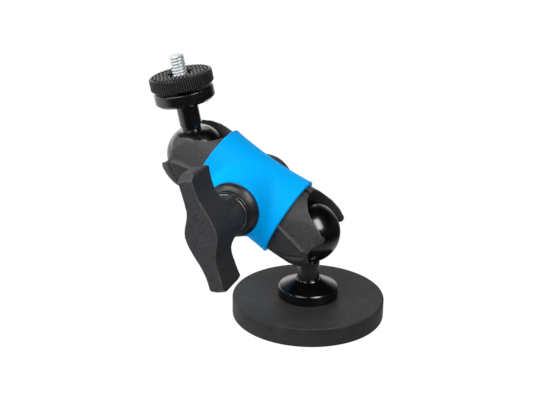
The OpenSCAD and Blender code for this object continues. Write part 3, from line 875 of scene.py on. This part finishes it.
def knurlTree(tooth, material):
    tree, given = newTree("knurledBand", [
        ("Body", "NodeSocketGeometry", None), ("Teeth", "NodeSocketInt", 90),
    ])
    points = addNode(tree, "GeometryNodePoints", {"Count": given["Teeth"]})
    turn = calc(tree, "DIVIDE", addNode(tree, "GeometryNodeInputIndex").outputs[0], given["Teeth"])
    spin = addNode(tree, "ShaderNodeCombineXYZ", {2: calc(tree, "MULTIPLY", turn, 2 * math.pi)})
    shape = addNode(tree, "GeometryNodeObjectInfo")
    shape.inputs["Object"].default_value = tooth
    copies = addNode(tree, "GeometryNodeInstanceOnPoints", {
        "Points": points.outputs[0], "Instance": shape.outputs["Geometry"],
        "Rotation": spin.outputs[0],
    })
    both = addNode(tree, "GeometryNodeJoinGeometry")
    tree.links.new(given["Body"], both.inputs[0])
    tree.links.new(copies.outputs[0], both.inputs[0])
    closeTree(tree, both.outputs[0], material)
    return tree


def addRing(size):
    foot, top, r, padHole = size["foot"], size["top"], size["radius"], size["padHole"]
    core = r - size["depth"]
    line = softCorners([
        (size["hole"], foot, 0), (core - 0.35, foot, 0.1), (core, foot + 0.35, 0.1),
        (core, top - 0.4, 0.15), (core - 0.3, top - 0.1, 0.1), (padHole + 0.25, top, 0.1),
        (padHole, top - 0.2, 0.1), (padHole, top - size["padDepth"], 0),
        (size["hole"], top - size["padDepth"], 0),
    ], 4)
    body = lathe("knurledRing", line, closed=True, steps=180)
    half = math.pi / size["teeth"] * r * size["toothFill"]
    root, crest = core - size["toothRoot"], size["crest"]
    low, high = foot + 0.25, top - 0.3
    corners = [
        (root, -half, low - 0.1), (root, half, low - 0.1),
        (r, crest, low + 0.35), (r, -crest, low + 0.35),
        (root, -half, high + 0.1), (root, half, high + 0.1),
        (r, crest, high - 0.35), (r, -crest, high - 0.35),
    ]
    mesh = bpy.data.meshes.new("tooth")
    mesh.from_pydata([Vector(c) * mm for c in corners], [], [
        (0, 3, 2, 1), (4, 5, 6, 7), (0, 4, 7, 3), (1, 2, 6, 5), (3, 7, 6, 2), (0, 1, 5, 4),
    ])
    tooth = linked("tooth", mesh)
    runTree(body, knurlTree(tooth, materials["ringAnodised"]), {"Teeth": size["teeth"]})
    bpy.data.objects.remove(tooth)
    body.data.transform(postFrame)
    shaded(body.data, 30)
    finish(body, materials["ringAnodised"], "lock_ring", "knurled_ring")


addRing(ring)
print("ring ready")

pad = {
    "Pitch": 1.57 * mm, "Reach": 11.95 * mm, "Ribs": 15,
    "foot": 35.0, "floor": 36.1, "crest": 36.8, "radius": 12.2, "hole": 5.2, "ribWidth": 0.74,
    "turn": 29,
}


def ribTree(rib, material):
    tree, given = newTree("ribbedFace", [
        ("Pitch", "NodeSocketFloat", 0.0016), ("Reach", "NodeSocketFloat", 0.012),
        ("Ribs", "NodeSocketInt", 15),
    ])
    first = calc(tree, "MULTIPLY", calc(tree, "SUBTRACT", given["Ribs"], 1.0), -0.5)
    start = addNode(tree, "ShaderNodeCombineXYZ", {
        0: calc(tree, "MULTIPLY", first, given["Pitch"]),
    })
    step = addNode(tree, "ShaderNodeCombineXYZ", {0: given["Pitch"]})
    row = addNode(tree, "GeometryNodeMeshLine", {
        "Count": given["Ribs"], "Start Location": start.outputs[0], "Offset": step.outputs[0],
    })
    x = addNode(tree, "ShaderNodeSeparateXYZ", {
        0: addNode(tree, "GeometryNodeInputPosition").outputs[0],
    }).outputs[0]
    halfChord = calc(tree, "SQRT", calc(
        tree, "SUBTRACT",
        calc(tree, "MULTIPLY", given["Reach"], given["Reach"]), calc(tree, "MULTIPLY", x, x),
    ))
    # the rib is one millimetre long, so its scale is the chord in millimetres
    length = calc(tree, "MULTIPLY", halfChord, 2 / mm)
    scale = addNode(tree, "ShaderNodeCombineXYZ", {0: 1.0, 1: length, 2: 1.0})
    shape = addNode(tree, "GeometryNodeObjectInfo")
    shape.inputs["Object"].default_value = rib
    copies = addNode(tree, "GeometryNodeInstanceOnPoints", {
        "Points": row.outputs[0], "Instance": shape.outputs["Geometry"], "Scale": scale.outputs[0],
    })
    closeTree(tree, copies.outputs[0], material)
    return tree


def ribMesh(size):
    # a rib one millimetre long, scaled to its place on the round pad
    half, foot, crest = size["ribWidth"] / 2, size["floor"] - 0.3, size["crest"]
    section = [
        (-half - 0.06, foot), (-half, crest - 0.25), (-half + 0.16, crest - 0.04), (0, crest),
        (half - 0.16, crest - 0.04), (half, crest - 0.25), (half + 0.06, foot),
    ]
    count = len(section)
    points = [Vector((x, y, z)) * mm for y in (-0.5, 0.5) for x, z in section]
    faces = [(i, i + 1, count + i + 1, count + i) for i in range(count - 1)]
    faces += [(0, count, 2 * count - 1, count - 1)]
    faces += [tuple(range(count))[::-1], tuple(range(count, 2 * count))]
    mesh = bpy.data.meshes.new("rib")
    mesh.from_pydata(points, [], faces)
    bm = bmesh.new()
    bm.from_mesh(mesh)
    bmesh.ops.recalc_face_normals(bm, faces=bm.faces)
    bm.to_mesh(mesh)
    bm.free()
    return mesh


def addPad(size):
    rib = linked("rib", ribMesh(size))
    ribs = linked("ribs", bpy.data.meshes.new("ribs"))
    runTree(ribs, ribTree(rib, materials["padRubber"]), size)
    bpy.data.objects.remove(rib)
    ribs.data.transform(Matrix.Rotation(math.radians(size["turn"]), 4, "Z"))
    hole, floor = size["hole"], size["floor"]
    low, high = 30, 40
    opening = [(0, low), (hole, low), (hole, high), (0, high)]
    combined(ribs, lathe("cutter", opening, steps=96), "DIFFERENCE")
    base = softCorners([
        (hole, size["foot"], 0), (size["radius"], size["foot"], 0), (size["radius"], floor, 0.3),
        (hole + 0.1, floor, 0.2), (hole, floor - 0.3, 0),
    ])
    piece = lathe("ribbedPad", base, closed=True)
    # painted shade: the floor between the ribs is dark, given a near-black rubber of its own
    bm = bmesh.new()
    bm.from_mesh(piece.data)
    for face in bm.faces:
        face.material_index = 1 if face.calc_center_median().z > size["foot"] * mm else 0
    count = len(bm.faces)
    bm.from_mesh(ribs.data)
    for face in list(bm.faces)[count:]:
        face.material_index = 0
    bm.to_mesh(piece.data)
    bm.free()
    bpy.data.objects.remove(ribs)
    piece.data.transform(postFrame)
    shaded(piece.data, 32)
    finish(piece, materials["padRubber"], "lock_ring", "ribbed_pad")
    piece.data.materials.append(materials["ribFloorShade"])


addPad(pad)
print("pad ready")

# solids that keep their own shape
keptSolids = {
    "steel_plate": "plateSteel", "disc_magnets": "magnetNickel", "threaded_bush": "bushBrass",
    "joint_screw": "zincSteel", "head_washer": "zincSteel", "clamp_spring": "zincSteel",
    "knob_insert": "bushBrass", "ring_bush": "darkSteel",
}
for nodeName, finishName in keptSolids.items():
    kept = frame["nodes"][nodeName]
    kept.data.materials.clear()
    kept.data.materials.append(materials[finishName])
print("solids ready")

# floor, world and lamps, in metres and degrees
studio = {
    "floorSize": 6.0, "floorGlow": 0.92, "floorWhite": 1.1, "floorTone": (0.15, 0.15, 0.15),
    "brightSide": -118, "dimLevel": 0.05, "wallLevel": 1.7, "sky": 0.09, "skyBright": 0.28,
    "poolFull": 0.03, "poolEnd": 0.12, "poolLevel": 0.75, "sideFrom": 0.1, "sideFull": 0.7,
    "ceilingFrom": 0.12, "ceilingTo": 0.62, "lampDistance": 0.9, "lampAim": (-0.02, 0, 0.05),
}


def sideLevel(tree, look, x, y):
    # 1 towards the bright side of the studio, the dim level on the other side
    angle = math.radians(look["brightSide"])
    towards = calc(
        tree, "ADD",
        calc(tree, "MULTIPLY", x, math.sin(angle)), calc(tree, "MULTIPLY", y, -math.cos(angle)),
    )
    return remap(
        tree, towards, look["sideFrom"], look["sideFull"], look["dimLevel"], 1.0, "SMOOTHSTEP",
    )


def addFloor(look):
    mesh = bpy.data.meshes.new("floor")
    s = look["floorSize"] / 2
    mesh.from_pydata([(-s, -s, 0), (s, -s, 0), (s, s, 0), (-s, s, 0)], [], [(0, 1, 2, 3)])
    floor = linked("floor", mesh)
    material = bpy.data.materials.new("paleFloor")
    material.use_nodes = True
    tree = material.node_tree
    tree.nodes.clear()
    path = addNode(tree, "ShaderNodeLightPath").outputs
    camera, gloss = path["Is Camera Ray"], path["Is Glossy Ray"]
    spot = addNode(tree, "ShaderNodeTexCoord").outputs["Object"]
    heading = addNode(tree, "ShaderNodeSeparateXYZ", {
        0: vectorCalc(tree, "NORMALIZE", spot),
    }).outputs
    pool = remap(
        tree, vectorCalc(tree, "LENGTH", spot), look["poolFull"], look["poolEnd"],
        look["poolLevel"], 0.0, "SMOOTHSTEP",
    )
    # white to the eye, and in reflections a bright pool round the disc and a bright side
    white = calc(tree, "MULTIPLY", camera, look["floorWhite"])
    reflected = calc(tree, "MAXIMUM", pool, sideLevel(tree, look, heading[0], heading[1]))
    paint = addNode(tree, "ShaderNodeBsdfDiffuse", {"Color": look["floorTone"] + (1,)})
    glow = addNode(tree, "ShaderNodeEmission", {
        "Color": (1, 1, 1, 1), "Strength": calc(tree, "MAXIMUM", white, reflected),
    })
    share = calc(tree, "MULTIPLY", calc(tree, "MAXIMUM", camera, gloss), look["floorGlow"])
    mixed = addNode(tree, "ShaderNodeMixShader", {
        0: share, 1: paint.outputs[0], 2: glow.outputs[0],
    })
    output = addNode(tree, "ShaderNodeOutputMaterial")
    tree.links.new(mixed.outputs[0], output.inputs["Surface"])
    mesh.materials.append(material)


def addWorld(look):
    world = bpy.data.worlds.new("studio")
    bpy.context.scene.world = world
    world.use_nodes = True
    tree = world.node_tree
    tree.nodes.clear()
    path = addNode(tree, "ShaderNodeLightPath").outputs
    camera, gloss = path["Is Camera Ray"], path["Is Glossy Ray"]
    heading = addNode(tree, "ShaderNodeSeparateXYZ", {
        0: addNode(tree, "ShaderNodeTexCoord").outputs["Generated"],
    }).outputs
    wall = sideLevel(tree, look, heading[0], heading[1])
    ceiling = remap(
        tree, heading[2], look["ceilingFrom"], look["ceilingTo"], 1.0, look["dimLevel"],
        "SMOOTHSTEP",
    )
    # white to the eye, a bright wall in reflections, and a soft even sky for all else
    gleam = calc(tree, "MULTIPLY", calc(tree, "MULTIPLY", wall, ceiling), look["wallLevel"])
    soft = calc(tree, "ADD", look["sky"], calc(tree, "MULTIPLY", wall, look["skyBright"]))
    rest = calc(tree, "SUBTRACT", 1.0, calc(tree, "MAXIMUM", camera, gloss))
    shown = calc(tree, "ADD", camera, calc(tree, "MULTIPLY", gloss, gleam))
    level = calc(tree, "ADD", shown, calc(tree, "MULTIPLY", rest, soft))
    sky = addNode(tree, "ShaderNodeBackground", {"Color": (1, 1, 1, 1), "Strength": level})
    output = addNode(tree, "ShaderNodeOutputWorld")
    tree.links.new(sky.outputs[0], output.inputs["Surface"])


# heading in degrees from -Y towards +X, size in metres, and what each lamp shows in
lamps = {
    "frontSoftbox": {
        "heading": -32, "elevation": 41, "size": (0.8, 0.8), "watts": 8.7,
        "inMatt": True, "inGloss": True,
    },
    "fillSoftbox": {
        "heading": 48, "elevation": 50, "size": (0.5, 0.5), "watts": 1.9,
        "inMatt": True, "inGloss": False,
    },
    "backSoftbox": {
        "heading": -160, "elevation": 40, "size": (0.45, 0.3), "watts": 0.6,
        "inMatt": False, "inGloss": True,
    },
    "rightSoftbox": {
        "heading": 64, "elevation": 42, "size": (0.34, 0.6), "watts": 9.5,
        "inMatt": False, "inGloss": True,
    },
}


def addLamp(name, look, distance, aim):
    a, e = math.radians(look["heading"]), math.radians(look["elevation"])
    out = Vector((math.sin(a) * math.cos(e), -math.cos(a) * math.cos(e), math.sin(e)))
    data = bpy.data.lights.new(name, "AREA")
    data.shape = "RECTANGLE"
    data.size, data.size_y = look["size"]
    data.energy = look["watts"]
    lamp = bpy.data.objects.new(name, data)
    bpy.context.scene.collection.objects.link(lamp)
    lamp.location = Vector(aim) + out * distance
    lamp.rotation_euler = out.to_track_quat("Z", "Y").to_euler()
    lamp.visible_diffuse = look["inMatt"]
    lamp.visible_glossy = look["inGloss"]


addFloor(studio)
addWorld(studio)
for lampName, look in lamps.items():
    addLamp(lampName, look, studio["lampDistance"], studio["lampAim"])
bpy.context.scene.view_settings.view_transform = "Standard"
print("studio ready")
